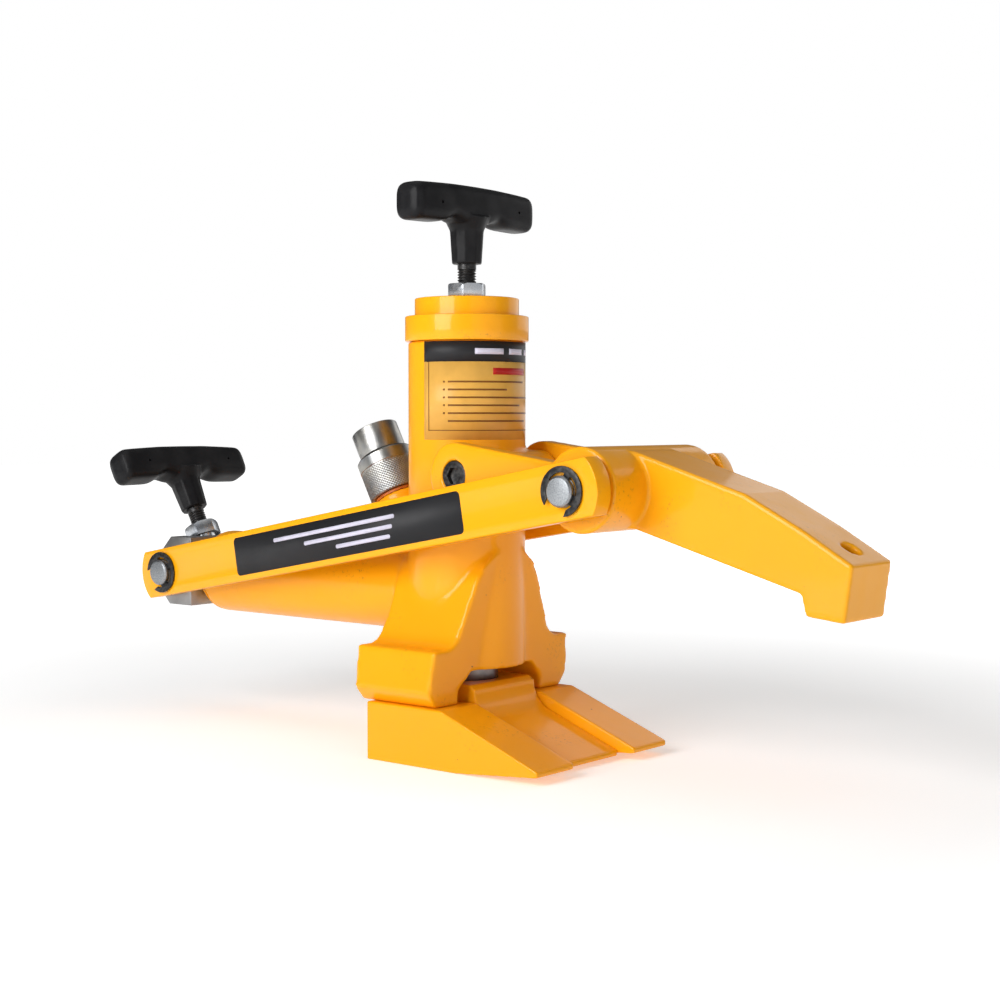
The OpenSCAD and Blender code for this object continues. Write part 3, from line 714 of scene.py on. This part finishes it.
def tube_label(materials):
    """The tube's label: a dark heading over an ochre panel with a thin frame and plain bars."""
    add_patch("label_panel", materials["label_ochre"], 0, LABEL_HALF, LABEL_BOTTOM, BAND_BOTTOM, 0.02 * MM)
    add_patch("label_heading", materials["label_black"], 0, LABEL_HALF, BAND_BOTTOM, LABEL_TOP, 0.05 * MM)
    inside = LABEL_HALF - FRAME_IN
    low = LABEL_BOTTOM + 5.6 * MM
    line = 0.55 * MM
    top_lift = 0.12 * MM
    add_patch("label_frame_bottom", materials["label_brown"], 0, inside, low, low + line, top_lift)
    for side in (-1, 1):
        add_patch(f"label_frame_side_{side + 1}", materials["label_brown"], side * inside, 0.45, low,
                  BAND_BOTTOM, top_lift)
    for count, (centre, half) in enumerate(((-27, 15), (6, 11), (32, 8))):
        add_patch(f"label_heading_bar_{count}", materials["label_white"], centre, half,
                  BAND_BOTTOM + 4.6 * MM, BAND_BOTTOM + 8.2 * MM, top_lift)
    add_patch("label_red_bar", materials["label_red"], 0, 24, 240.4 * MM, 244.6 * MM, top_lift)
    rows = ((-68, 44), (-68, 30), (-68, 52), (-68, 40), (-68, 54), (-68, 46))
    for count, (start, sweep) in enumerate(rows):
        height = (235.4 - count * 4.9) * MM
        add_patch(f"label_row_{count}", materials["label_brown"], start + sweep, sweep, height,
                  height + 1.1 * MM, top_lift)
        if count < len(rows) - 1:
            add_patch(f"label_dot_{count}", materials["label_brown"], start - 4, 1.0, height,
                      height + 1.1 * MM, top_lift)


def add_patch(name, material, centre, half_angle, low, high, lift):
    piece = keep(curved_patch(centre, half_angle, low, high, lift), name, material)
    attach(piece, "body")


BAR_T = 12 * MM
DECAL_L = 221.6 * MM
DECAL_H = 26 * MM
DECAL_CENTRE = -192.6 * MM
DECAL_ROUND = 3.2 * MM


def bar_frame():
    """The near bar's own axes: x along the bar, y into it, z up it, from the claw pin's middle."""
    front = Vector(JOINTS["side_bar_swing"]["pos_m"])
    rear = Vector((sum(corner.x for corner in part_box("crosshead_pin")) / 2, 0,
                   sum(corner.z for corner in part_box("crosshead_pin")) / 2))
    pitch = math.atan2(front.z - rear.z, front.x - rear.x)
    place = Matrix.Translation((front.x, -BAR_FRONT_Y, front.z))
    return place @ Matrix.Rotation(-pitch, 4, "Y") @ Matrix.Rotation(-BAR_SPLAY, 4, "Z")


BAR_FRONT_Y = 64.8 * MM
BAR_REAR_Y = 36 * MM
BAR_REACH = 388.67 * MM
BAR_SPLAY = math.asin((BAR_FRONT_Y - BAR_REAR_Y) / BAR_REACH)


def rounded_sheet(length, height, radius, along, up, lift):
    """A flat rounded rectangle in a bar's XZ plane, lift out from the bar's face."""
    mesh = bmesh.new()
    bmesh.ops.create_grid(mesh, x_segments=1, y_segments=1, size=0.5)
    for vert in mesh.verts:
        vert.co = Vector((vert.co.x * length, vert.co.y * height, 0))
    corners = mesh.verts[:]
    bmesh.ops.bevel(mesh, geom=corners, offset=radius, offset_type="OFFSET", segments=8, profile=0.5,
                    affect="VERTICES", clamp_overlap=True, material=-1)
    upright = Matrix.Rotation(math.radians(90), 4, "X")
    mesh.transform(Matrix.Translation((along, -BAR_T / 2 - lift, up)) @ upright)
    return thickened(mesh, FILM / 2)


def bar_decal(materials):
    """The near bar's sticker: a rounded dark panel with three plain stripes of different length."""
    frame_of_bar = bar_frame()

    def add(name, material, *shape):
        mesh = rounded_sheet(*shape)
        mesh.transform(frame_of_bar)
        piece = keep(mesh, name, material)
        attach(piece, "side_bars")

    add("decal_panel", materials["label_black"], DECAL_L, DECAL_H, DECAL_ROUND, DECAL_CENTRE, 0, FILM / 2)
    for count, (length, shift) in enumerate(((120, -8), (86, 6), (52, 20))):
        add(f"decal_stripe_{count}", materials["label_white"], length * MM, 2.6 * MM, 1.2 * MM,
            DECAL_CENTRE + shift * MM, (6 - count * 6) * MM, FILM)


# ---- The whole object ----

YOKE_BLEND = ((-0.06, 0.020, 0.080), (0.016, 0.070, 0.150))


def make_castings(materials):
    paint = materials["body_paint"]
    shell = cast("cast_body", "cast_body_shell", paint, 1.6 * MM, 3)
    soften_between(shell, YOKE_BLEND[0], YOKE_BLEND[1], 32)
    cast("claw", "claw_casting", paint, 1.1 * MM, 4)
    cast("near_side_foot", "near_foot_forging", paint, 0.8 * MM, 3)
    cast("far_side_foot", "far_foot_forging", paint, 0.8 * MM, 3)
    cast("ram_foot", "ram_foot_forging", paint, 0.9 * MM, 3)
    softened("top_cap", "top_cap_turned", paint, 1.1 * MM, 3)
    softened("clamp_end_cap", "clamp_end_cap_turned", paint, 1.0 * MM, 3)


def make_bars(materials):
    softened("near_side_bar", "near_bar_plate", materials["bar_paint"], 0.9 * MM, 3)
    softened("far_side_bar", "far_bar_plate", materials["bar_paint"], 0.9 * MM, 3)


def make_hardware(materials):
    for node in ("top_gland_nut", "rear_gland_nut"):
        softened(node, f"{node}_plated", materials["zinc"], 0.25 * MM)
    for node in ("pivot_screws", "foot_screws"):
        softened(node, f"{node}_oxide", materials["black_oxide"], 0.4 * MM)
    for node in ("claw_pin_clips", "crosshead_pin_clips"):
        softened(node, f"{node}_oxide", materials["black_oxide"], 0.16 * MM)
    for node in ("claw_pin", "crosshead_pin"):
        softened(node, f"{node}_ground", materials["pin_steel"], 0.2 * MM)
    softened("ram_rod", "ram_rod_oiled", materials["oiled_rod"], 0.3 * MM)
    softened("crosshead_block", "crosshead_block_milled", materials["bare_block"], 0.5 * MM)
    softened("dust_cap", "dust_cap_turned", materials["coupler_steel"], 0.5 * MM, 3)


def make_handles(materials):
    for valve in ("top", "rear"):
        hinge, grip = f"{valve}_handle_turn", f"{valve}_t_grip"
        t_grip(grip, hinge, f"{valve}_grip_moulding", materials["grip_plastic"])
        spindle(f"{valve}_valve_spindle", hinge, grip, f"{valve}_spindle_thread", materials["black_oxide"])


def paint_what_stays(materials):
    """Every CAD node that still shows gets its slot's finish."""
    for name, node in frame["nodes"].items():
        if node.hide_render:
            continue
        for slot in node.material_slots:
            slot.material = materials[SLOT_OF[name]]


def main():
    bpy.context.scene.view_settings.view_transform = "Standard"
    set_camera()
    light_studio()
    materials = make_materials()
    lay_floor()
    make_castings(materials)
    make_bars(materials)
    make_hardware(materials)
    make_handles(materials)
    knurled_collar("coupler_collar", "coupler_collar_turn", "knurled_collar", materials["coupler_steel"])
    tube_label(materials)
    bar_decal(materials)
    paint_what_stays(materials)


main()
